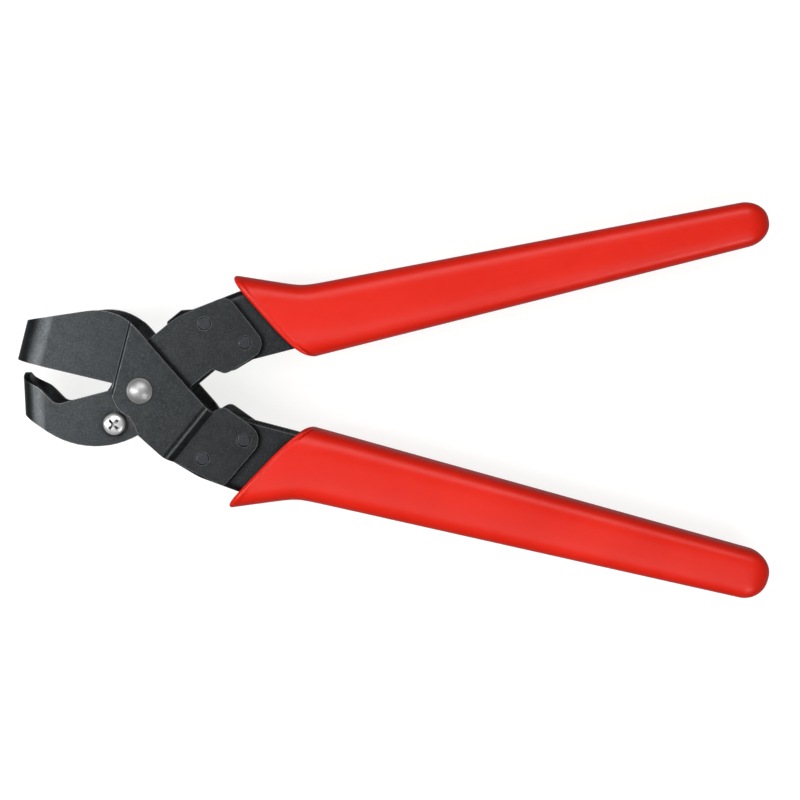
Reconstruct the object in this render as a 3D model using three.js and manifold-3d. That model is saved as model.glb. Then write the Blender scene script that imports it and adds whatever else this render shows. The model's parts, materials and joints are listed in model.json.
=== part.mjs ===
// Notching pliers, 250 mm long: two levers bent from 2 mm sheet steel cross at one pivot rivet. Each is riveted to
// a channel-shaped handle core that carries a dipped plastic sleeve.
// Millimetres. The pivot axis is the Z axis, +X runs from the jaws to the handles, and +Z is the side with the
// domed rivet head. z = 0 is the flat end of the pivot rivet, on which the pliers lie.
// Shapes are drawn in the mid-plane of the pliers and lifted by REST_HEIGHT at the end.
import * as THREE from "three";
import { mergeVertices } from "three/addons/utils/BufferGeometryUtils.js";
import Module from "manifold-3d";

const wasm = await Module();
wasm.setup();

// ---- driving dimensions ----
const SHEET = 2; // thickness of both levers and both cores
const NOTCH_HALF = 10; // half of the 20 mm wide notch: outer faces of the inner lever
const JAW_HALF = 12.2; // outer faces of the outer lever's jaw
const CHEEK_HALF = 13.2; // outer faces of the outer lever beside the pivot
const CORE_HALF = 7.8; // outer faces of the handle cores
const BEND = 3; // outside radius of the bends beside a core's web
const PIVOT_PIN = 2.6; // radius of the pivot rivet's shank
const PIVOT_HOLE = 2.7;
const SCREW = { x: -8.5, y: -10.7, pin: 1.95, hole: 2.1 };
const RIVET_PIN = 2.1;
const RIVET_HOLE = 2.2;
const UPPER_RIVETS = [
  [20.4, 21.2],
  [33.3, 15.1],
];
const LOWER_RIVETS = [
  [19.4, -21.9],
  [32.7, -16.0],
];
const REST_HEIGHT = 14.8; // mid-plane above the flat end of the pivot rivet
const TALL = 80; // long enough to pass through everything
const CHORD = 0.03; // farthest that the flats of a rounded corner lie from the true arc

// ---- colours ----
const blackened = new THREE.MeshStandardMaterial({ color: 0x2b2f2f, roughness: 0.5, metalness: 0.8 });
const satinSteel = new THREE.MeshStandardMaterial({ color: 0x8d9194, roughness: 0.4, metalness: 0.9 });
const zincPlate = new THREE.MeshStandardMaterial({ color: 0xb9bcbd, roughness: 0.3, metalness: 0.9 });
const redPlastic = new THREE.MeshStandardMaterial({ color: 0xd9241c, roughness: 0.35, metalness: 0 });

// ---- outlines ----
// An outline is a list of corners [x, y, radius]; a corner without a radius stays sharp.
function lineMeet(p, d, q, e) {
  const t = ((q[0] - p[0]) * e[1] - (q[1] - p[1]) * e[0]) / (d[0] * e[1] - d[1] * e[0]);
  return [p[0] + d[0] * t, p[1] + d[1] * t];
}

function direction(a, b) {
  const length = Math.hypot(b[0] - a[0], b[1] - a[1]);
  return [(b[0] - a[0]) / length, (b[1] - a[1]) / length];
}

// The shape of an outline, with each rounded corner as an arc that touches both its sides.
function shapeOf(corners) {
  const points = corners.flatMap((corner, i) => {
    const [x, y, radius = 0] = corner;
    if (radius === 0) return [new THREE.Vector2(x, y)];
    const before = corners[(i + corners.length - 1) % corners.length];
    const after = corners[(i + 1) % corners.length];
    const back = direction(corner, before);
    const ahead = direction(corner, after);
    const halfAngle = Math.acos(back[0] * ahead[0] + back[1] * ahead[1]) / 2;
    const middle = direction([0, 0], [back[0] + ahead[0], back[1] + ahead[1]]);
    const reach = radius / Math.sin(halfAngle);
    const centre = [x + middle[0] * reach, y + middle[1] * reach];
    const touch = radius / Math.tan(halfAngle);
    const start = Math.atan2(y + back[1] * touch - centre[1], x + back[0] * touch - centre[0]);
    const turnsLeft = back[0] * ahead[1] - back[1] * ahead[0] < 0;
    const sweep = (turnsLeft ? 1 : -1) * (Math.PI - 2 * halfAngle);
    const steps = Math.max(2, Math.ceil(Math.abs(sweep) / (2 * Math.acos(1 - CHORD / radius))));
    return Array.from({ length: steps + 1 }, (_, k) => {
      const angle = start + (sweep * k) / steps;
      return new THREE.Vector2(centre[0] + radius * Math.cos(angle), centre[1] + radius * Math.sin(angle));
    });
  });
  return new THREE.Shape(points);
}

// An open row of corners moved sideways to its right by the given distance.
function movedRow(corners, distance) {
  return corners.map((corner, i) => {
    const next = corners[Math.min(i + 1, corners.length - 1)];
    const last = corners[Math.max(i - 1, 0)];
    const incoming = i === 0 ? direction(corner, next) : direction(last, corner);
    const outgoing = i === corners.length - 1 ? incoming : direction(corner, next);
    const p = [corner[0] + incoming[1] * distance, corner[1] - incoming[0] * distance];
    const q = [corner[0] + outgoing[1] * distance, corner[1] - outgoing[0] * distance];
    const turn = incoming[0] * outgoing[1] - incoming[1] * outgoing[0];
    const point = Math.abs(turn) < 1e-6 ? p : lineMeet(p, incoming, q, outgoing);
    const radius = (corner[2] ?? 0) + (turn > 0 ? distance : -distance);
    return [...point, corner[2] ? Math.max(radius, 0.2) : 0];
  });
}

// ---- solids ----
function solid(geometry) {
  const plain = geometry.index ? geometry.toNonIndexed() : geometry.clone();
  plain.deleteAttribute("normal");
  plain.deleteAttribute("uv");
  const merged = mergeVertices(plain, 1e-4);
  return new wasm.Manifold(
    new wasm.Mesh({
      numProp: 3,
      vertProperties: new Float32Array(merged.attributes.position.array),
      triVerts: new Uint32Array(merged.index.array),
    }),
  );
}

function geometryOf(body) {
  const mesh = body.getMesh();
  const geometry = new THREE.BufferGeometry();
  geometry.setAttribute("position", new THREE.BufferAttribute(new Float32Array(mesh.vertProperties), 3));
  geometry.setIndex(new THREE.BufferAttribute(new Uint32Array(mesh.triVerts), 1));
  const flat = geometry.toNonIndexed();
  flat.computeVertexNormals();
  return flat;
}

// A slab with the given outline between two heights.
function slab(corners, low, high) {
  const geometry = new THREE.ExtrudeGeometry(shapeOf(corners), { depth: high - low, bevelEnabled: false });
  geometry.translate(0, 0, low);
  return solid(geometry);
}

// A sheet-metal section drawn as (distance along the bend's normal, height), pushed along the bend line.
function bentSection(corners, normalAngle) {
  const geometry = new THREE.ExtrudeGeometry(shapeOf(corners), { depth: 2 * TALL, bevelEnabled: false });
  geometry.translate(0, 0, -TALL);
  const basis = new THREE.Matrix4().makeBasis(
    new THREE.Vector3(Math.cos(normalAngle), Math.sin(normalAngle), 0),
    new THREE.Vector3(0, 0, 1),
    new THREE.Vector3(Math.sin(normalAngle), -Math.cos(normalAngle), 0),
  );
  geometry.applyMatrix4(basis);
  return solid(geometry);
}

// A body turned about the Z axis at (x, y); the profile runs from the axis at its low end to its high end.
function turned(profile, x, y, sides = 28) {
  const geometry = new THREE.LatheGeometry(
    profile.map(([radius, z]) => new THREE.Vector2(radius, z)),
    sides,
  );
  geometry.rotateX(Math.PI / 2);
  geometry.translate(x, y, 0);
  return solid(geometry);
}

function rod(x, y, radius, low = -TALL, high = TALL, sides = 28) {
  return turned(
    [
      [0, low],
      [radius, low],
      [radius, high],
      [0, high],
    ],
    x,
    y,
    sides,
  );
}

function ring(x, y, inner, outer, low, high, edge = 0.15) {
  const body = turned(
    [
      [0, low],
      [outer - edge, low],
      [outer, low + edge],
      [outer, high - edge],
      [outer - edge, high],
      [0, high],
    ],
    x,
    y,
  );
  return body.subtract(rod(x, y, inner));
}

// ---- the two levers ----
// Outer lever: top jaw, cheeks at the pivot, and the plates riveted to the lower handle.
const NOSE_LEAN = 0.26; // rad, the jaw's front and the step beside it lean this far towards the handles
const LOWER_STEP = Math.atan2(-0.635, 0.773); // normal of the step towards the lower handle

// Where the front of a nose, `front` along its normal from the pivot, meets an edge y = at0 + slope x.
function noseCorner(front, normalAngle, at0, slope) {
  const clear = front - 0.02;
  const on = [clear * Math.cos(normalAngle), clear * Math.sin(normalAngle)];
  return lineMeet(on, [-Math.sin(normalAngle), Math.cos(normalAngle)], [0, at0], [1, slope]);
}

function outerLever() {
  const topSlope = 0.1455;
  const cutSlope = -0.236;
  const cutAt = (x) => 0.26 + cutSlope * x;
  const front = -42.3; // outer face of the nose, measured along the jaw's own direction
  const outline = [
    [...noseCorner(front, -NOSE_LEAN, cutAt(0), cutSlope), 0.4],
    [-9, cutAt(-9), 0.5],
    [-8, 1],
    [-3.6, -7.9],
    [-1.5, -11.3, 6],
    [-0.7, -14.2, 1.4],
    [7.5, -21.6, 15],
    [26.1, -30.8, 1.6],
    [39.8, -14.85, 5.2],
    [26.1, -5.1, 2.5],
    [22.5, -7.25, 1],
    [-7.06, 26.8, 18],
    [...noseCorner(front, -NOSE_LEAN, 27.84, topSlope), 1],
  ];
  const shape = slab(outline, -TALL, TALL).add(rod(0, 0, 8.9, -TALL, TALL, 60));

  const step = -8.7;
  const bend = 10;
  const rise = CHEEK_HALF - JAW_HALF;
  const side = (half, sign) => [
    [11, sign * (half + rise)],
    [step + 0.7, sign * (half + rise), 0.6],
    [step, sign * half, 0.4],
  ];
  const jaw = bentSection(
    [
      ...side(JAW_HALF, 1),
      [front, JAW_HALF, bend],
      [front, -JAW_HALF, bend],
      ...side(JAW_HALF, -1).reverse(),
      ...side(JAW_HALF - SHEET, -1),
      [front + SHEET, SHEET - JAW_HALF, bend - SHEET],
      [front + SHEET, JAW_HALF - SHEET, bend - SHEET],
      ...side(JAW_HALF - SHEET, 1).reverse(),
    ],
    -NOSE_LEAN,
  );

  const drop = CHEEK_HALF - NOTCH_HALF;
  const tail = (sign) =>
    bentSection(
      [
        [4, sign * CHEEK_HALF],
        [20.1, sign * CHEEK_HALF, 3],
        [22.4, sign * (CHEEK_HALF - drop), 0.4],
        [TALL, sign * (CHEEK_HALF - drop)],
        [TALL, sign * (CHEEK_HALF - drop - SHEET)],
        [21.4, sign * (CHEEK_HALF - drop - SHEET), 2.4],
        [19.1, sign * (CHEEK_HALF - SHEET), 1],
        [4, sign * (CHEEK_HALF - SHEET)],
      ],
      LOWER_STEP,
    );
  let body = jaw.add(tail(1)).add(tail(-1)).intersect(shape);
  body = body.subtract(rod(0, 0, PIVOT_HOLE));
  for (const [x, y] of LOWER_RIVETS) body = body.subtract(rod(x, y, RIVET_HOLE));
  return body;
}

// All that lies above the rim of the inner lever's nose. The rim is cut in the flat sheet and bent with it: it
// falls evenly from the middle of the nose and then drops more steeply, whatever the layer of the sheet.
function aboveNose(bend, bendStart, wallRim) {
  const flat = NOTCH_HALF - bend;
  const reach = flat + (bend * Math.PI) / 2; // from the middle of the nose to the straight wall, along the sheet
  const steps = 40;
  const soften = 0.35; // how softly the even fall turns into the steeper one
  const positions = [];
  const frames = [];
  for (let i = 0; i <= 2 * steps; i++) {
    const along = reach * (i / steps - 1);
    const turn = Math.max(Math.abs(along) - flat, 0) / bend;
    const side = Math.sign(along);
    const onSheet = (radius) => [
      bendStart - radius * Math.cos(turn),
      turn > 0 ? side * (flat + radius * Math.sin(turn)) : along,
    ];
    const even = wallRim.top - wallRim.fall * Math.abs(along);
    const steep = wallRim.end + wallRim.drop * (reach - Math.abs(along));
    const height = -soften * Math.log(Math.exp(-even / soften) + Math.exp(-steep / soften));
    const [innerX, innerZ] = onSheet(bend - SHEET - 1);
    const [outerX, outerZ] = onSheet(bend + 1);
    frames.push([
      [innerX, height, innerZ],
      [outerX, height, outerZ],
      [outerX, TALL, outerZ],
      [innerX, TALL, innerZ],
    ]);
  }
  const quad = (p, q, r, t) => positions.push(...p, ...q, ...r, ...p, ...r, ...t);
  frames.slice(1).forEach((frame, i) => {
    const last = frames[i];
    for (let k = 0; k < 4; k++) quad(last[k], frame[k], frame[(k + 1) % 4], last[(k + 1) % 4]);
  });
  quad(...frames[0]);
  quad(...frames[frames.length - 1].toReversed());
  const geometry = new THREE.BufferGeometry();
  geometry.setAttribute("position", new THREE.BufferAttribute(new Float32Array(positions), 3));
  return solid(geometry);
}

// Inner lever: bottom jaw, plates between the cheeks, and the plates riveted to the upper handle.
function innerLever() {
  const armSlope = 0.82;
  const underAt = (x) => 0.7 + armSlope * (x - 15.2);
  const overAt = (x) => 15.7 + armSlope * (x - 2);
  const front = -39.25;
  const lean = 0.036;
  const belly = -0.6328;
  const bend = 8;
  const bendStart = front + bend;
  const wallRim = { top: 5.4, fall: 0.348, end: -0.95, drop: 1.03 };
  const outline = [
    [-46, 9],
    [...noseCorner(front, lean, -32.51, belly), 1],
    [-15.5, -22.7, 28],
    [1, -13.1, 3],
    [5.5, underAt(5.5), 4],
    [22.7, underAt(22.7), 1],
    [27, 5.15, 2.5],
    [40.9, 13.5, 4.8],
    [27.8, 30.2, 4.2],
    [11.05, overAt(11.05), 20],
    [-9.5, overAt(-9.5), 2],
    [-9.5, 1.9, 0.5],
    [-10.9, -0.22, 0.8],
    [-27.7, -4.62, 3],
    [bendStart, wallRim.end],
    [bendStart, 9],
  ];
  const shape = slab(outline, -TALL, TALL);
  const back = TALL;
  const section = bentSection(
    [
      [back, NOTCH_HALF],
      [front, NOTCH_HALF, bend],
      [front, -NOTCH_HALF, bend],
      [back, -NOTCH_HALF],
      [back, SHEET - NOTCH_HALF],
      [front + SHEET, SHEET - NOTCH_HALF, bend - SHEET],
      [front + SHEET, NOTCH_HALF - SHEET, bend - SHEET],
      [back, NOTCH_HALF - SHEET],
    ],
    lean,
  );
  let body = section.intersect(shape).subtract(aboveNose(bend, bendStart, wallRim));
  body = body.subtract(rod(0, 0, PIVOT_HOLE));
  body = body.subtract(rod(SCREW.x, SCREW.y, SCREW.hole));
  for (const [x, y] of UPPER_RIVETS) body = body.subtract(rod(x, y, RIVET_HOLE));
  return body;
}

// ---- the handles ----
// A handle is drawn in its own frame: x along the grip from the pivot, y towards its outer edge.
// `web` is the closed outer side of the channel and `lips` its free edges, both in the frame of the pliers.
const UPPER = {
  angle: 0.2082,
  mirror: 1,
  web: [
    [7.4, 21.6, 0.8],
    [12.3, 25.5, 1.5],
    [15.7, 25.6, 3],
    [36, 33.4, 14],
    [56, 31.65, 25],
    [183, 55.4, 3],
  ],
  lips: [
    [184.5, 45.2, 3],
    [55, 14.72, 25],
    [24.3, 6.85, 1],
  ],
  rivets: UPPER_RIVETS,
  outer: { at: 58.9, edge: 21.8, slope: -0.0232, flare: -0.385, flareAt: 38.9, flareEdge: 28.68 },
  inner: { at: 54.2, edge: -1.2, slope: 0.0376 },
  lip: 35.7,
  tip: 206.6,
};
const LOWER = {
  angle: -0.2461,
  mirror: -1,
  web: [
    [8.6, -23, 1],
    [17.5, -28.3, 18],
    [36.5, -35.3, 14],
    [56, -34.6, 25],
    [186, -63.6, 3],
  ],
  lips: [
    [187, -52.8, 3],
    [56, -16.35, 25],
    [22, -7.45, 1],
  ],
  rivets: LOWER_RIVETS,
  outer: { at: 58.3, edge: 22.37, slope: -0.0268, flare: -0.406, flareAt: 40.1, flareEdge: 28.9 },
  inner: { at: 55.8, edge: -1.15, slope: 0.0254 },
  lip: 35.2,
  tip: 209.6,
};
const CORE_TAPER = { from: 60, to: 200, end: 6.1 };
const SLEEVE = { half: 9.9, endHalf: 8, from: 60, to: 200, clearance: 0.1 };
const BEYOND = 12; // how far a cutting outline runs past the ends of a core
const DEEP = 60; // and how far it reaches past its open side

// The thickness of a core, as a slab seen from its edge, narrower towards the end of the handle.
function coreThickness(handle, half) {
  const narrow = half - CORE_HALF + CORE_TAPER.end;
  return bentSection(
    [
      [-TALL, -half],
      [CORE_TAPER.from, -half],
      [CORE_TAPER.to, -narrow],
      [CORE_TAPER.to, narrow],
      [CORE_TAPER.from, half],
      [-TALL, half],
    ],
    handle.angle,
  );
}

// A slab whose rim is rounded over where it meets its two flat faces, for the bends beside a channel's web.
function roundedSlab(corners, half, radius) {
  const geometry = new THREE.ExtrudeGeometry(shapeOf(corners), {
    depth: 2 * (half - radius),
    bevelThickness: radius,
    bevelSize: radius,
    bevelOffset: -radius,
    bevelSegments: 5,
  });
  geometry.translate(0, 0, radius - half);
  return solid(geometry);
}

// The outer side of a channel with both ends pushed on along their own lines, closed far past its open side.
function pastBothEnds(row, mirror) {
  const pushed = (end, inner) => {
    const outwards = direction(inner, end);
    return [end[0] + outwards[0] * BEYOND, end[1] + outwards[1] * BEYOND];
  };
  const first = pushed(row[0], row[1]);
  const last = pushed(row[row.length - 1], row[row.length - 2]);
  return [
    first,
    ...row.slice(1, -1),
    last,
    [last[0], last[1] - DEEP * mirror],
    [first[0], first[1] - DEEP * mirror],
  ];
}

// The space a core fills, grown by `play` on every side.
function coreBlock(handle, play) {
  const outwards = -play * handle.mirror;
  const grown = movedRow([...handle.web, ...handle.lips], outwards);
  const wideArcs = movedRow(handle.web, outwards).map(([x, y, radius]) => {
    return [x, y, radius > 2 * BEND ? radius : 0];
  });
  return slab(grown, -TALL, TALL)
    .intersect(coreThickness(handle, CORE_HALF + play))
    .intersect(roundedSlab(pastBothEnds(wideArcs, handle.mirror), CORE_HALF + play, BEND));
}

function handleCore(handle) {
  const hollow = pastBothEnds(movedRow(handle.web, SHEET * handle.mirror), handle.mirror);
  const channel = slab(hollow, -TALL, TALL).intersect(coreThickness(handle, CORE_HALF - SHEET));
  let body = coreBlock(handle, 0).subtract(channel);
  for (const [x, y] of handle.rivets) body = body.subtract(rod(x, y, RIVET_HOLE));
  return body;
}

// Half thickness of a sleeve at a distance along its grip.
function sleeveHalf(x) {
  const share = Math.min(Math.max((x - SLEEVE.from) / (SLEEVE.to - SLEEVE.from), 0), 1);
  return SLEEVE.half + (SLEEVE.endHalf - SLEEVE.half) * share;
}

// The sleeve's outside as a loft of flattened rounded sections, with a domed tip.
function sleeveBlock(handle) {
  const { outer, inner, tip } = handle;
  const head = 33.5;
  const dome = 8;
  const around = 36;
  const squareness = 3; // of the section; 2 would be an ellipse
  const blend = 0.6; // how softly the guard's flare runs into the grip
  const stations = [];
  const straight = 18;
  const domed = 6;
  const crowding = 1.25; // above 1, the sections stand closer together near the guard
  const lastTurn = 1.46; // a little short of a quarter turn, which leaves a small flat at the tip
  for (let i = 0; i <= straight; i++) stations.push(head + (tip - dome - head) * (i / straight) ** crowding);
  for (let i = 1; i <= domed; i++) stations.push(tip - dome + dome * Math.sin((i / domed) * lastTurn));
  const positions = [];
  const sections = stations.map((x) => {
    const grip = outer.edge + outer.slope * (x - outer.at);
    const flare = outer.flareEdge + outer.flare * (x - outer.flareAt);
    const top = grip + blend * Math.log(1 + Math.exp((flare - grip) / blend));
    const bottom = inner.edge + inner.slope * (x - inner.at);
    const past = Math.max((x - (tip - dome)) / dome, 0);
    const close = Math.sqrt(1 - past * past);
    const points = [];
    for (let j = 0; j < around; j++) {
      const turn = (j / around) * 2 * Math.PI;
      const c = Math.cos(turn);
      const s = Math.sin(turn);
      const across = Math.sign(c) * Math.abs(c) ** (2 / squareness);
      const up = Math.sign(s) * Math.abs(s) ** (2 / squareness);
      points.push([
        x,
        (top + bottom) / 2 + ((top - bottom) / 2) * close * across,
        sleeveHalf(x) * close * up,
      ]);
    }
    return points;
  });
  const triangle = (...corners) => corners.forEach((corner) => positions.push(...corner));
  const middle = (section) => [
    section[0][0],
    (section[0][1] + section[around / 2][1]) / 2,
    0,
  ];
  sections.slice(1).forEach((section, i) => {
    const before = sections[i];
    for (let j = 0; j < around; j++) {
      const k = (j + 1) % around;
      triangle(before[j], section[k], section[j]);
      triangle(before[j], before[k], section[k]);
    }
  });
  const first = sections[0];
  const last = sections[sections.length - 1];
  for (let j = 0; j < around; j++) {
    const k = (j + 1) % around;
    triangle(middle(first), first[k], first[j]);
    triangle(middle(last), last[j], last[k]);
  }
  const geometry = new THREE.BufferGeometry();
  geometry.setAttribute("position", new THREE.BufferAttribute(new Float32Array(positions), 3));
  return geometry;
}

// Turns something drawn in a handle's own frame into the frame of the pliers.
function placed(geometry, handle) {
  if (handle.mirror < 0) {
    geometry.scale(1, -1, 1);
    const array = geometry.attributes.position.array;
    for (let i = 0; i < array.length; i += 9) {
      for (let k = 0; k < 3; k++) {
        const held = array[i + 3 + k];
        array[i + 3 + k] = array[i + 6 + k];
        array[i + 6 + k] = held;
      }
    }
  }
  geometry.rotateZ(handle.angle);
  return solid(geometry);
}

function sleeve(handle) {
  const endCut = [
    [10, 45],
    [handle.lip, 45],
    [handle.lip, 28.2, 1],
    [37.9, 24.6, 3],
    [49.6, 2.5, 5],
    [55.5, -4],
    [10, -14],
  ];
  const cutter = new THREE.ExtrudeGeometry(shapeOf(endCut), { depth: 2 * TALL, bevelEnabled: false });
  cutter.translate(0, 0, -TALL);
  const outside = placed(sleeveBlock(handle), handle);
  return outside.subtract(placed(cutter, handle)).subtract(coreBlock(handle, SLEEVE.clearance));
}

// ---- fasteners ----
function pivotRivet() {
  const dome = [];
  const headRadius = 4.1;
  const rise = 2.3;
  const foot = CHEEK_HALF + 0.05;
  const ball = (headRadius ** 2 + rise ** 2) / (2 * rise);
  for (let i = 0; i <= 6; i++) {
    const radius = headRadius * Math.cos((i / 6) * (Math.PI / 2));
    dome.push([radius, foot + rise - ball + Math.sqrt(ball ** 2 - radius ** 2)]);
  }
  dome[dome.length - 1] = [0, foot + rise];
  return turned(
    [
      [0, -REST_HEIGHT],
      [3.5, -REST_HEIGHT],
      [4.1, -REST_HEIGHT + 0.5],
      [4.1, -foot],
      [PIVOT_PIN, -foot],
      [PIVOT_PIN, foot],
      ...dome,
    ],
    0,
    0,
    36,
  );
}

function leverRivet([x, y], sign) {
  const face = NOTCH_HALF;
  const inside = CORE_HALF - SHEET;
  const profile = [
    [0, inside - 1],
    [2.4, inside - 1],
    [2.6, inside - 0.8],
    [2.6, inside - 0.05],
    [RIVET_PIN, inside - 0.05],
    [RIVET_PIN, face - 0.2],
    [RIVET_PIN - 0.2, face],
    [0, face],
  ];
  const upright = sign > 0 ? profile : profile.map(([r, z]) => [r, -z]).reverse();
  return turned(upright, x, y, 20);
}

function jawScrew() {
  const seat = NOTCH_HALF + 0.9;
  const body = turned(
    [
      [0, -REST_HEIGHT + 0.8],
      [SCREW.pin - 0.3, -REST_HEIGHT + 0.8],
      [SCREW.pin, -REST_HEIGHT + 1.1],
      [SCREW.pin, seat],
      [3.5, seat],
      [3.5, seat + 1],
      [3.3, seat + 1.6],
      [2.8, seat + 2.05],
      [1.9, seat + 2.3],
      [0, seat + 2.4],
    ],
    SCREW.x,
    SCREW.y,
  );
  const deep = seat + 0.9;
  const wing = (angle) => {
    const geometry = new THREE.BoxGeometry(4.2, 0.8, 4);
    geometry.rotateZ(angle);
    geometry.translate(SCREW.x, SCREW.y, deep + 2);
    return solid(geometry);
  };
  return body.subtract(wing(0.78)).subtract(wing(0.78 + Math.PI / 2));
}

function jawNut() {
  const flats = 7;
  const low = -NOTCH_HALF - 3.2;
  const high = -NOTCH_HALF - 0.05;
  const geometry = new THREE.CylinderGeometry(flats / Math.sqrt(3), flats / Math.sqrt(3), high - low, 6);
  geometry.rotateX(Math.PI / 2);
  geometry.rotateZ(0.3);
  geometry.translate(SCREW.x, SCREW.y, (low + high) / 2);
  const corners = turned(
    [
      [0, low - 0.01],
      [flats / 2, low - 0.01],
      [flats / Math.sqrt(3) + 0.05, low + 0.45],
      [flats / Math.sqrt(3) + 0.05, high + 0.01],
      [0, high + 0.01],
    ],
    SCREW.x,
    SCREW.y,
  );
  return solid(geometry).intersect(corners).subtract(rod(SCREW.x, SCREW.y, SCREW.hole));
}

// ---- the pliers ----
const part = new THREE.Group();

function place(name, body, material) {
  const mesh = new THREE.Mesh(geometryOf(body), material);
  mesh.name = name;
  mesh.geometry.translate(0, 0, REST_HEIGHT);
  part.add(mesh);
}

place("outer_lever", outerLever(), blackened);
place("inner_lever", innerLever(), blackened);
place("upper_handle_core", handleCore(UPPER), blackened);
place("lower_handle_core", handleCore(LOWER), blackened);
place("upper_sleeve", sleeve(UPPER), redPlastic);
place("lower_sleeve", sleeve(LOWER), redPlastic);

const washerLow = NOTCH_HALF + 0.05;
const washerHigh = CHEEK_HALF - SHEET - 0.05;
const screwWasherHigh = NOTCH_HALF + 0.85;
const plateGap = NOTCH_HALF - SHEET - 0.05;
place("pivot_rivet", pivotRivet(), satinSteel);
place("pivot_spacer", ring(0, 0, PIVOT_HOLE, 4.5, -plateGap, plateGap), satinSteel);
place("pivot_washer_near", ring(0, 0, PIVOT_HOLE, 6.5, washerLow, washerHigh), satinSteel);
place("pivot_washer_far", ring(0, 0, PIVOT_HOLE, 6.5, -washerHigh, -washerLow), satinSteel);

place("jaw_screw", jawScrew(), zincPlate);
place("jaw_screw_washer", ring(SCREW.x, SCREW.y, SCREW.hole, 4, washerLow, screwWasherHigh), blackened);
place("jaw_screw_spacer", ring(SCREW.x, SCREW.y, SCREW.hole, 3.5, -plateGap, plateGap), satinSteel);
place("jaw_screw_nut", jawNut(), zincPlate);

const rows = [
  ["upper", UPPER_RIVETS],
  ["lower", LOWER_RIVETS],
];
for (const [row, spots] of rows) {
  spots.forEach((spot, i) => {
    const where = ["front", "rear"][i];
    place(`${row}_rivet_${where}_near`, leverRivet(spot, 1), blackened);
    place(`${row}_rivet_${where}_far`, leverRivet(spot, -1), blackened);
  });
}

export default part;
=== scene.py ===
"""Notching pliers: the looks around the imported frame, in metres and in the frame's own axes.

The bent sheet levers, the channel cores and the fasteners are the frame's own solids, with their stamped
edges rounded over. The two dipped sleeves are lofted here as finer meshes.
"""

import json
import math

import bmesh
import bpy
from mathutils import Matrix, Vector

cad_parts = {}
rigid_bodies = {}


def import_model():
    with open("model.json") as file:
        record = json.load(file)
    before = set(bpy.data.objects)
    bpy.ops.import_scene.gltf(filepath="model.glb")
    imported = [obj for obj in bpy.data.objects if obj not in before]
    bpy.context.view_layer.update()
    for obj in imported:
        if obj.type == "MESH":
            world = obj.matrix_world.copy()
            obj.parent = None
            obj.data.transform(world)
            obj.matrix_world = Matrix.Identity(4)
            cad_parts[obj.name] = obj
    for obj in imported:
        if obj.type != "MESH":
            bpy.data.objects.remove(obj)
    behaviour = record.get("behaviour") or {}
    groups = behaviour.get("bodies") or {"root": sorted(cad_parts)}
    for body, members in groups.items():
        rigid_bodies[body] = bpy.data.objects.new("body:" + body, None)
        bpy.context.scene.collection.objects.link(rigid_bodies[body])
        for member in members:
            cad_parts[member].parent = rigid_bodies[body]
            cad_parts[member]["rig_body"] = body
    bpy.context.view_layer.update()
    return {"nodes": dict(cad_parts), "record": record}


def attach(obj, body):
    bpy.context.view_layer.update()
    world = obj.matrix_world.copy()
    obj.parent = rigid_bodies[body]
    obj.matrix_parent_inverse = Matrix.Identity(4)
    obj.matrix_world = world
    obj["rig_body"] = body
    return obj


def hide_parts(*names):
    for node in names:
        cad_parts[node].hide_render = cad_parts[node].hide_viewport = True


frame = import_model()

MM = 0.001
MID = 14.8 * MM  # height of the pliers' mid-plane above the surface they lie on


# ---- node materials ----
def new_material(name):
    material = bpy.data.materials.new(name)
    material.use_nodes = True
    nodes = material.node_tree.nodes
    return material, nodes, material.node_tree.links, nodes["Principled BSDF"]


def object_noise(nodes, links, scale, detail, roughness=0.5, stretch=(1, 1, 1)):
    """A noise that stays with the object, with `scale` in features per metre."""
    place = nodes.new("ShaderNodeTexCoord")
    mapping = nodes.new("ShaderNodeMapping")
    mapping.inputs["Scale"].default_value = stretch
    noise = nodes.new("ShaderNodeTexNoise")
    noise.inputs["Scale"].default_value = scale
    noise.inputs["Detail"].default_value = detail
    noise.inputs["Roughness"].default_value = roughness
    links.new(place.outputs["Object"], mapping.inputs["Vector"])
    links.new(mapping.outputs["Vector"], noise.inputs["Vector"])
    return noise.outputs["Fac"]


def ramp(nodes, links, value, stops):
    """A colour ramp with (place, colour) stops; a plain number stands for a grey."""
    node = nodes.new("ShaderNodeValToRGB")
    elements = node.color_ramp.elements
    while len(elements) < len(stops):
        elements.new(0.5)
    for element, (place, colour) in zip(elements, stops):
        element.position = place
        element.color = (*colour, 1) if isinstance(colour, tuple) else (colour, colour, colour, 1)
    links.new(value, node.inputs["Fac"])
    return node.outputs["Color"]


def bump(nodes, links, height, strength, distance, normal=None):
    node = nodes.new("ShaderNodeBump")
    node.inputs["Strength"].default_value = strength
    node.inputs["Distance"].default_value = distance
    links.new(height, node.inputs["Height"])
    if normal is not None:
        links.new(normal, node.inputs["Normal"])
    return node.outputs["Normal"]


def worn_and_highlit_edges(nodes, links, radius):
    """A mask that is 1 along outer edges and 0 on open faces."""
    bevel = nodes.new("ShaderNodeBevel")
    bevel.samples = 6
    bevel.inputs["Radius"].default_value = radius
    surface = nodes.new("ShaderNodeNewGeometry")
    dot = nodes.new("ShaderNodeVectorMath")
    dot.operation = "DOT_PRODUCT"
    links.new(bevel.outputs["Normal"], dot.inputs[0])
    links.new(surface.outputs["Normal"], dot.inputs[1])
    return ramp(nodes, links, dot.outputs["Value"], [(0.75, 1.0), (0.97, 0.0)])


def shelter(nodes, links, reach, stops):
    """A mask read off how open the surface is to its surroundings within `reach`."""
    openness = nodes.new("ShaderNodeAmbientOcclusion")
    openness.samples = 6
    openness.inputs["Distance"].default_value = reach
    return ramp(nodes, links, openness.outputs["AO"], stops)


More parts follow.
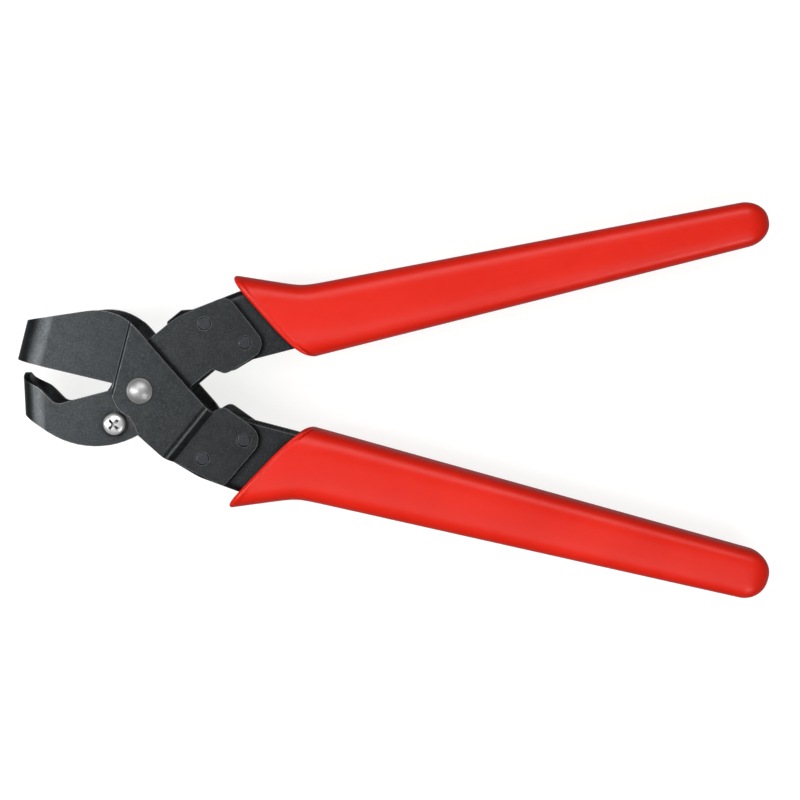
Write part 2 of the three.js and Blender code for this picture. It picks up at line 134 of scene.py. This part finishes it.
def mixed(nodes, links, factor, colour, tint):
    """`colour` with `tint` laid over it where `factor` is high."""
    mix = nodes.new("ShaderNodeMix")
    mix.data_type = "RGBA"
    mix.inputs["B"].default_value = (*tint, 1)
    links.new(factor, mix.inputs["Factor"])
    links.new(colour, mix.inputs["A"])
    return mix.outputs["Result"]


def blackened_steel(name, low, high):
    """Burnished black sheet: mottled, pale on its edges as rubbed wear and as a painted highlight, with
    painted light paling and dulling the insides of the folds and painted shade darkening the creases.
    """
    material, nodes, links, shader = new_material(name)
    mottle = object_noise(nodes, links, 260, 5, 0.7)
    grain = object_noise(nodes, links, 2600, 4, 0.6)
    speck = object_noise(nodes, links, 1700, 3, 0.7)
    colour = ramp(nodes, links, mottle, [(0.3, low), (0.7, high)])
    fleck = ramp(nodes, links, speck, [(0.45, 0.0), (0.75, 0.6)])
    colour = mixed(nodes, links, fleck, colour, (0.118, 0.125, 0.128))
    # Edges paled towards a light grey: partly rubbed wear, partly a painted highlight along the sheet's
    # edges.
    colour = mixed(nodes, links, worn_and_highlit_edges(nodes, links, 0.45 * MM), colour, (0.32, 0.33, 0.33))
    # Painted light: where little is open within 25 mm, the insides of the folds are painted paler and made
    # less metallic, as if light reached in there.
    painted_fold_light = shelter(nodes, links, 25 * MM, [(0.2, 1.0), (0.4, 0.0)])
    colour = mixed(nodes, links, painted_fold_light, colour, (0.55, 0.56, 0.56))
    # Painted shade: creases and the feet of steps are painted near black, as a contact shadow.
    painted_crease_shade = shelter(nodes, links, 2.2 * MM, [(0.45, 0.85), (0.9, 0.0)])
    colour = mixed(nodes, links, painted_crease_shade, colour, (0.01, 0.01, 0.01))
    links.new(colour, shader.inputs["Base Color"])
    links.new(ramp(nodes, links, grain, [(0.3, 0.30), (0.7, 0.42)]), shader.inputs["Roughness"])
    links.new(ramp(nodes, links, painted_fold_light, [(0, 1.0), (1, 0.5)]), shader.inputs["Metallic"])
    rough = bump(nodes, links, grain, 0.3, 0.02 * MM)
    links.new(bump(nodes, links, mottle, 0.12, 0.05 * MM, rough), shader.inputs["Normal"])
    return material


def bare_steel(name, low, high, roughness, metallic=1.0):
    """Bare or plated steel, clouded between two greys, with fine turning marks and painted shade darkening
    its creases.
    """
    material, nodes, links, shader = new_material(name)
    cloud = object_noise(nodes, links, 500, 4, 0.6)
    scratch = object_noise(nodes, links, 1500, 3, 0.5, (1, 8, 1))
    # Painted shade: recesses and creases within 1 mm are painted dark, as a contact shadow.
    painted_crease_shade = shelter(nodes, links, 1 * MM, [(0.45, 0.9), (0.9, 0.0)])
    colour = ramp(nodes, links, cloud, [(0.3, low), (0.7, high)])
    colour = mixed(nodes, links, painted_crease_shade, colour, (0.03, 0.03, 0.03))
    links.new(colour, shader.inputs["Base Color"])
    links.new(
        ramp(nodes, links, scratch, [(0.3, roughness - 0.06), (0.7, roughness + 0.08)]),
        shader.inputs["Roughness"],
    )
    shader.inputs["Metallic"].default_value = metallic
    links.new(bump(nodes, links, scratch, 0.25, 0.01 * MM), shader.inputs["Normal"])
    return material


def red_sleeve():
    """Dipped red plastic with a soft gloss and a slightly uneven skin."""
    material, nodes, links, shader = new_material("red_sleeve")
    cloud = object_noise(nodes, links, 45, 3, 0.5)
    skin = object_noise(nodes, links, 420, 3, 0.5)
    fine = object_noise(nodes, links, 3200, 2, 0.5)
    links.new(
        ramp(nodes, links, cloud, [(0.3, (0.69, 0.013, 0.004)), (0.7, (0.76, 0.018, 0.007))]),
        shader.inputs["Base Color"],
    )
    links.new(ramp(nodes, links, skin, [(0.3, 0.30), (0.7, 0.38)]), shader.inputs["Roughness"])
    shader.inputs["Specular IOR Level"].default_value = 0.32
    soft = bump(nodes, links, skin, 0.12, 0.06 * MM)
    links.new(bump(nodes, links, fine, 0.10, 0.01 * MM, soft), shader.inputs["Normal"])
    return material


def floor_paint():
    material, nodes, links, shader = new_material("floor_paint")
    cloud = object_noise(nodes, links, 6, 3)
    links.new(ramp(nodes, links, cloud, [(0.3, 0.30), (0.7, 0.31)]), shader.inputs["Base Color"])
    shader.inputs["Roughness"].default_value = 0.9
    shader.inputs["Specular IOR Level"].default_value = 0
    shader.inputs["Emission Color"].default_value = (1, 1, 0.99, 1)
    shader.inputs["Emission Strength"].default_value = 0.8
    return material


# ---- the frame's own solids, with rounded edges ----
def refined(node, material, edge):
    """A copy of a CAD node with flat faces merged and sharp edges rounded over, standing for that node."""
    source = frame["nodes"][node]
    mesh = bmesh.new()
    mesh.from_mesh(source.data)
    bmesh.ops.remove_doubles(mesh, verts=mesh.verts, dist=0.002 * MM)
    bmesh.ops.dissolve_limit(
        mesh,
        angle_limit=math.radians(0.8),
        verts=mesh.verts,
        edges=mesh.edges,
    )
    data = bpy.data.meshes.new(node + "_look")
    mesh.to_mesh(data)
    mesh.free()
    data.shade_smooth()
    piece = bpy.data.objects.new(node + "_look", data)
    bpy.context.scene.collection.objects.link(piece)
    data.materials.append(material)
    bevel = piece.modifiers.new("edge", "BEVEL")
    bevel.width = edge
    bevel.segments = 3
    bevel.limit_method = "ANGLE"
    bevel.angle_limit = math.radians(38)
    bevel.harden_normals = True
    weighted = piece.modifiers.new("shading", "WEIGHTED_NORMAL")
    weighted.keep_sharp = True
    weighted.weight = 60
    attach(piece, source["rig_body"])
    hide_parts(node)
    return piece


# ---- dipped sleeves ----
# A handle's own frame has x along the grip from the pivot and y towards its outer edge, in millimetres.
UPPER = {
    "angle": 0.2082,
    "mirror": 1,
    "outer": {"at": 58.9, "edge": 21.8, "slope": -0.0232},
    "flare": {"at": 38.9, "edge": 28.68, "slope": -0.385},
    "inner": {"at": 54.2, "edge": -1.2, "slope": 0.0376},
    "core": {
        "outer": [(42.1, 25.2), (61.3, 19.4), (190.5, 16.4)],
        "inner": [(25, 1.7), (57, 3), (190, 6)],
    },
    "lip": 35.5,
    "tip": 206.6,
}
LOWER = {
    "angle": -0.2461,
    "mirror": -1,
    "outer": {"at": 58.3, "edge": 22.37, "slope": -0.0268},
    "flare": {"at": 40.1, "edge": 28.9, "slope": -0.406},
    "inner": {"at": 55.8, "edge": -1.15, "slope": 0.0254},
    "core": {
        "outer": [(44, 25.4), (62.7, 19.9), (195.9, 16.4)],
        "inner": [(25, 1.7), (58, 2.3), (193, 5.6)],
    },
    "lip": 35.0,
    "tip": 209.6,
}
DOME = 8  # length of the rounded tip
SQUARE = 3.5  # how square the section is; 2 would be an ellipse
AROUND = 112
SLANT = {"at": 37.9, "height": 24.6, "slope": 0.5294}  # the open end leans back towards the inner edge
TOE = {"at": 49.6, "height": 2.5, "slope": 0.9077}  # and runs out faster below
TOE_ROUND = {"back": 2.2, "edge": -1.2, "fade": 1.1}  # its corner at the inner edge is rounded off
SQUARE_ON_FROM = 84  # beyond this the sections stand square to the grip
LIP = 1.1  # radius of the rolled edge at the open end
BEAD = 0.3  # how far that rolled edge stands proud of the sleeve's faces
CORE_END = 186
CORE_GAP = 0.3  # between the core's edges and the pocket
POCKET_WALL = 1.9  # plastic over the core's flat sides
POCKET_SQUARE = 8
FLARE_BLEND = 0.6  # how softly the guard lip runs into the grip, and the same for the open end's corners
TOE_BLEND = 1.2
LIP_BLEND = 0.8


def soft_max(a, b, softness):
    """The larger of two numbers, with the corner between them rounded."""
    return b + softness * math.log(1 + math.exp((a - b) / softness))


def along(line, x):
    return line["edge"] + line["slope"] * (x - line["at"])


def outer_edge(handle, x):
    return soft_max(along(handle["flare"], x), along(handle["outer"], x), FLARE_BLEND)


def inner_edge(handle, x):
    return along(handle["inner"], x)


def half_thickness(x):
    return 9.9 - 1.9 * min(max((x - 60) / 140, 0), 1)


def open_end(handle, y):
    """Where the open end lies at a height across the grip."""
    slant = SLANT["at"] + (SLANT["height"] - y) * SLANT["slope"]
    toe = TOE["at"] + (TOE["height"] - y) * TOE["slope"]
    toe += TOE_ROUND["back"] * math.exp((TOE_ROUND["edge"] - y) / TOE_ROUND["fade"])
    return soft_max(soft_max(toe, slant, TOE_BLEND), handle["lip"], LIP_BLEND)


def row_at(row, x):
    """A height read off a row of (x, y) corners."""
    for (x0, y0), (x1, y1) in zip(row, row[1:]):
        if x <= x1:
            return y0 + (y1 - y0) * max(x - x0, 0) / (x1 - x0)
    return row[-1][1]


def ring(place_at, low_at, high_at, half_at, squareness, inset=0.0, push=0.0):
    """A closed ring. place_at gives x for a y; the edges and the half thickness follow from x."""
    low, high = 0.0, 20.0  # a first guess, which settles within a few rounds
    for _ in range(12):
        low = low_at(place_at(low) + push)
        high = high_at(place_at(high) + push)
    middle, reach = (low + high) / 2, (high - low) / 2
    points = []
    for k in range(AROUND):
        turn = 2 * math.pi * k / AROUND
        across = math.copysign(abs(math.cos(turn)) ** (2 / squareness), math.cos(turn))
        up = math.copysign(abs(math.sin(turn)) ** (2 / squareness), math.sin(turn))
        x = place_at(middle + reach * across) + push
        points.append((x, middle + (reach - inset) * across, (half_at(x) - inset) * up))
    return points


def sleeve_rings(handle):
    """Rings from the pocket's floor out to the open end, over its rolled edge and along to the tip."""
    def outside(share, inset=0.0, push=0.0, swell=0.0):
        def place_at(y):
            return open_end(handle, y) * (1 - share) + SQUARE_ON_FROM * share

        return ring(
            place_at,
            lambda x: inner_edge(handle, x),
            lambda x: outer_edge(handle, x),
            lambda x: half_thickness(x) + swell,
            SQUARE,
            inset,
            push,
        )

    def pocket(share):
        def place_at(y):
            return open_end(handle, y) * (1 - share) + CORE_END * share

        return ring(
            place_at,
            lambda x: row_at(handle["core"]["inner"], x) - CORE_GAP,
            lambda x: row_at(handle["core"]["outer"], x) + CORE_GAP,
            lambda x: half_thickness(x) - POCKET_WALL,
            POCKET_SQUARE,
        )

    rings = [pocket(share) for share in (1, 0.75, 0.5, 0.3, 0.18, 0.12, 0.06, 0.02)]
    rolled = 8
    for step in range(rolled + 1):
        turn = math.pi / 2 * step / rolled
        inset = LIP * (1 - math.sin(turn))
        push = LIP * (1 - math.cos(turn))
        rings.append(outside(0, inset, push, BEAD * step / rolled))
    for distance, swell in ((0.35, 1), (0.6, 0.55), (0.85, 0.1), (1.1, 0)):
        rings.append(outside(0, 0, LIP + distance, BEAD * swell))
    head = 30
    for step in range(1, head + 1):
        rings.append(outside(step / head, 0, LIP * (1 - step / head)))
    grip_end = handle["tip"] - DOME
    grip = 44
    pitch = (grip_end - SQUARE_ON_FROM) / grip
    stations = [(SQUARE_ON_FROM + pitch * step, 1) for step in range(1, grip + 1)]
    domed = 14
    for step in range(1, domed):
        turn = math.pi / 2 * step / domed
        stations.append((grip_end + DOME * math.sin(turn), math.cos(turn)))
    for x, close in stations:
        low, high = inner_edge(handle, x), outer_edge(handle, x)
        middle, reach = (low + high) / 2, (high - low) / 2 * close
        rings.append(
            ring(
                lambda y, x=x: x,
                lambda _, low=middle - reach: low,
                lambda _, high=middle + reach: high,
                lambda x, close=close: half_thickness(x) * close,
                SQUARE,
            )
        )
    return rings


def sleeve(name, handle, material, node, body):
    mesh = bmesh.new()
    rings = [[mesh.verts.new(point) for point in points] for points in sleeve_rings(handle)]
    for first, second in zip(rings, rings[1:]):
        for k in range(AROUND):
            after = (k + 1) % AROUND
            mesh.faces.new((first[k], first[after], second[after], second[k]))
    tip = mesh.verts.new((handle["tip"], sum(v.co.y for v in rings[-1]) / AROUND, 0))
    floor = mesh.verts.new(sum((v.co for v in rings[0]), Vector()) / AROUND)
    for k in range(AROUND):
        after = (k + 1) % AROUND
        mesh.faces.new((rings[-1][k], rings[-1][after], tip))
        mesh.faces.new((rings[0][after], rings[0][k], floor))
    turn = Matrix.Rotation(handle["angle"], 4, "Z")
    mirror = Matrix.Diagonal((1, handle["mirror"], 1, 1))
    mesh.transform(Matrix.Translation((0, 0, MID)) @ turn @ mirror @ Matrix.Scale(MM, 4))
    return finished(name, mesh, material, node, body)


def finished(name, mesh, material, node, body):
    """Turns a bmesh into a smooth visible piece that stands for a CAD node."""
    bmesh.ops.recalc_face_normals(mesh, faces=mesh.faces)
    data = bpy.data.meshes.new(name)
    mesh.to_mesh(data)
    mesh.free()
    data.shade_smooth()
    data.materials.append(material)
    piece = bpy.data.objects.new(name, data)
    bpy.context.scene.collection.objects.link(piece)
    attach(piece, body)
    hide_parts(node)
    return piece


# ---- turned fasteners ----
def turned_mesh(profile, centre, sides=72):
    """A bmesh turned about an upright axis. Profile rows are (radius, height over the mid-plane) in mm."""

    def point(radius, height, turn):
        x = centre[0] + radius * math.cos(turn)
        y = centre[1] + radius * math.sin(turn)
        return (x * MM, y * MM, height * MM + MID)

    mesh = bmesh.new()
    rows = []
    for radius, height in profile:
        count = sides if radius else 1
        rows.append([mesh.verts.new(point(radius, height, 2 * math.pi * k / sides)) for k in range(count)])
    for low, high in zip(rows, rows[1:]):
        for k in range(sides):
            after = (k + 1) % sides
            corners = [row[at % len(row)] for row, at in ((low, k), (low, after), (high, after), (high, k))]
            mesh.faces.new(list(dict.fromkeys(corners)))
    return mesh


def arc_rows(radius, from_angle, to_angle, centre, steps):
    """Profile rows along an arc about a (radius, height) centre, with angles from the axis in radians."""
    rows = []
    for step in range(steps + 1):
        angle = from_angle + (to_angle - from_angle) * step / steps
        rows.append((centre[0] + radius * math.sin(angle), centre[1] + radius * math.cos(angle)))
    return rows


def pivot_rivet(material):
    """A domed head on the near side, a shank, and a flat formed head with a rounded edge underneath."""
    head, rise = 4.1, 2.3
    foot, shank = 13.25, 2.6
    flat, round_over = 3.3, 0.5
    ball = (head**2 + rise**2) / (2 * rise)
    rim = math.asin((head - 0.15) / ball)
    underside = -MID / MM
    profile = [(0, underside), (flat, underside)]
    for angle in (0.4, 0.8, 1.2, 1.57):
        height = underside + round_over - round_over * math.cos(angle)
        profile.append((flat + round_over * math.sin(angle), height))
    profile += [(head, -14.1), (head, -13.4), (head - 0.15, -foot), (shank, -foot), (shank, foot)]
    profile += [(head - 0.3, foot), (head - 0.08, foot + 0.08), (head, foot + 0.22)]
    profile += arc_rows(ball, rim, 0, (0, foot + rise - ball), 16)[:-1]
    profile.append((0, foot + rise))
    body = turned_mesh(profile, (0, 0))
    return finished("pivot_rivet_look", body, material, "pivot_rivet", "outer")


def cross_recess(centre, top, angle):
    """The tapered cross that a screwdriver fits, as a bmesh to cut away."""
    above, depth = 0.6, 1.6
    mouth = {"height": top + above, "long": 2.3, "wide": 0.5}  # half lengths and half widths of each arm
    bottom = {"height": top - depth, "long": 1.5, "wide": 0.38}
    tool = bmesh.new()
    for turn in (angle, angle + math.pi / 2):
        levels = []
        for level in (mouth, bottom):
            corners = []
            for side_x, side_y in ((-1, -1), (1, -1), (1, 1), (-1, 1)):
                x = side_x * level["long"]
                y = side_y * level["wide"]
                turned_x = centre[0] + x * math.cos(turn) - y * math.sin(turn)
                turned_y = centre[1] + x * math.sin(turn) + y * math.cos(turn)
                corners.append(tool.verts.new((turned_x * MM, turned_y * MM, level["height"] * MM + MID)))
            levels.append(corners)
        high, low = levels
        tool.faces.new(high)
        tool.faces.new(low[::-1])
        for k in range(4):
            tool.faces.new((high[k], low[k], low[(k + 1) % 4], high[(k + 1) % 4]))
    bmesh.ops.recalc_face_normals(tool, faces=tool.faces)
    return tool


def jaw_screw(material):
    """A pan head with a cross recess on a shank with a few coarse ridges for its thread."""
    centre = (-8.5, -10.7)
    seat, crown = 10.9, 2.4
    cross_angle = 0.78
    profile = [(0, -14), (1.65, -14), (1.95, -13.7)]
    pitch = 0.7
    crests = 4
    for crest in range(crests):
        base = -13.7 + crest * pitch
        profile += [(1.95, base + 0.05), (1.7, base + pitch / 2), (1.95, base + pitch - 0.05)]
    profile += [(1.95, seat), (3.3, seat), (3.46, seat + 0.06), (3.5, seat + 0.2)]
    profile += [(3.5, seat + 0.85), (3.44, seat + 1.15), (3.3, seat + 1.45), (3.05, seat + 1.75)]
    profile += [(2.7, seat + 2.0), (2.2, seat + 2.2), (1.5, seat + 2.33), (0.8, seat + 2.39)]
    profile.append((0, seat + crown))
    body = turned_mesh(profile, centre)
    piece = finished("jaw_screw_look", body, material, "jaw_screw", "inner")
    tool_data = bpy.data.meshes.new("recess")
    tool = cross_recess(centre, seat + crown, cross_angle)
    tool.to_mesh(tool_data)
    tool.free()
    cutter = bpy.data.objects.new("recess", tool_data)
    bpy.context.scene.collection.objects.link(cutter)
    cut = piece.modifiers.new("recess", "BOOLEAN")
    cut.object = cutter
    cut.operation = "DIFFERENCE"
    cut.solver = "EXACT"
    cut.use_self = True
    bpy.context.view_layer.update()
    carved = bpy.data.meshes.new_from_object(piece.evaluated_get(bpy.context.evaluated_depsgraph_get()))
    piece.modifiers.clear()
    piece.data = carved
    bpy.data.objects.remove(cutter)
    carved.set_sharp_from_angle(angle=math.radians(32))
    return piece


# ---- the object ----
EDGES = {  # how far the edges of the sheet parts are rounded over
    "outer_lever": 0.6 * MM,
    "inner_lever": 0.45 * MM,
    "upper_handle_core": 0.4 * MM,
    "lower_handle_core": 0.4 * MM,
}
FINE_EDGE = 0.12 * MM
REBUILT = ("upper_sleeve", "lower_sleeve", "pivot_rivet", "jaw_screw")

black = blackened_steel("blackened_steel", (0.043, 0.047, 0.050), (0.062, 0.067, 0.070))
headed = blackened_steel("flush_rivets", (0.062, 0.067, 0.077), (0.084, 0.091, 0.103))
satin = bare_steel("pivot_steel", 0.52, 0.62, 0.46, 0.8)
turned = bare_steel("turned_steel", 0.36, 0.46, 0.36)
zinc = bare_steel("zinc_plate", 0.88, 0.96, 0.34, 0.7)
red = red_sleeve()
LOOKS = {"blackened_steel": black, "pivot_steel": satin, "turned_steel": turned, "zinc_plate": zinc}

for part in frame["record"]["subparts"]:
    if part["node"] in REBUILT:
        continue
    slot_name = part["material_slot"]
    edge = EDGES.get(part["node"], FINE_EDGE)
    look = headed if "_rivet_" in part["node"] else LOOKS[slot_name]
    refined(part["node"], look, edge)

pivot_rivet(satin)
jaw_screw(zinc)
sleeve("upper_sleeve_look", UPPER, red, "upper_sleeve", "inner")
sleeve("lower_sleeve_look", LOWER, red, "lower_sleeve", "outer")


# ---- floor, light and camera ----
def floor_plane():
    """A pale floor that glows a little, so that shadows stay faint, and throws no light back up."""
    half = 1.5
    middle = 0.08
    mesh = bpy.data.meshes.new("floor")
    corners = [(-half, -half), (half, -half), (half, half), (-half, half)]
    mesh.from_pydata([(x + middle, y, 0) for x, y in corners], [], [(0, 1, 2, 3)])
    mesh.materials.append(floor_paint())
    plane = bpy.data.objects.new("floor", mesh)
    plane.visible_diffuse = False
    plane.visible_glossy = False
    bpy.context.scene.collection.objects.link(plane)


def soft_light(name, place, aim, width, height, power, seen_in_gloss=True):
    data = bpy.data.lights.new(name, "AREA")
    data.shape = "RECTANGLE"
    data.size = width
    data.size_y = height
    data.energy = power
    light = bpy.data.objects.new(name, data)
    light.location = place
    light.rotation_euler = (Vector(aim) - Vector(place)).to_track_quat("-Z", "Y").to_euler()
    light.visible_glossy = seen_in_gloss
    bpy.context.scene.collection.objects.link(light)


def studio_world():
    """Dim overhead and dark around the horizon, with the pale table's light from below."""
    world = bpy.data.worlds.new("studio")
    world.use_nodes = True
    nodes, links = world.node_tree.nodes, world.node_tree.links
    place = nodes.new("ShaderNodeTexCoord")
    parts = nodes.new("ShaderNodeSeparateXYZ")
    links.new(place.outputs["Generated"], parts.inputs["Vector"])
    height = nodes.new("ShaderNodeMapRange")
    height.inputs["From Min"].default_value = -1
    links.new(parts.outputs["Z"], height.inputs["Value"])
    tones = [(0, 0.22), (0.3, 0.16), (0.45, 0.05), (0.62, 0.08), (0.9, 0.15), (1, 0.15)]
    shade = ramp(nodes, links, height.outputs["Result"], tones)
    links.new(shade, nodes["Background"].inputs["Color"])
    nodes["Background"].inputs["Strength"].default_value = 1
    bpy.context.scene.world = world


def studio():
    """Lights as (place, aim, width, height) in metres and power in watts."""
    studio_world()
    jaws = (0, 0, 0.015)
    handles = (0.1, 0, 0.015)
    soft_light("left", (-0.43, 0, 0.42), jaws, 0.12, 0.6, 1.8)
    soft_light("overhead", (-0.6, 0, 1.0), jaws, 0.7, 0.9, 1.8)
    soft_light("right", (0.46, -0.51, 0.44), jaws, 0.25, 0.25, 1.0)
    soft_light("back", (0.15, 0.75, 0.9), handles, 1.2, 0.5, 5.6)
    soft_light("front", (0.1, -0.4, 0.95), handles, 1.1, 0.5, 4.9, seen_in_gloss=False)


def photo_camera():
    data = bpy.data.cameras.new("camera")
    data.lens = 84.7
    data.sensor_width = 36
    camera = bpy.data.objects.new("camera", data)
    place = Vector((104.8, 33.3, 620.8)) * MM
    aim = Vector((82.2, -3.7, 14.8)) * MM
    roll = 0.0023
    ahead = (aim - place).normalized()
    right = ahead.cross(Vector((0, 1, 0))).normalized()
    up = right.cross(ahead)
    axes = Matrix((right, up, -ahead)).transposed()
    camera.matrix_world = Matrix.Translation(place) @ axes.to_4x4() @ Matrix.Rotation(-roll, 4, "Z")
    bpy.context.scene.collection.objects.link(camera)
    bpy.context.scene.camera = camera


floor_plane()
studio()
photo_camera()
bpy.context.scene.view_settings.view_transform = "Standard"
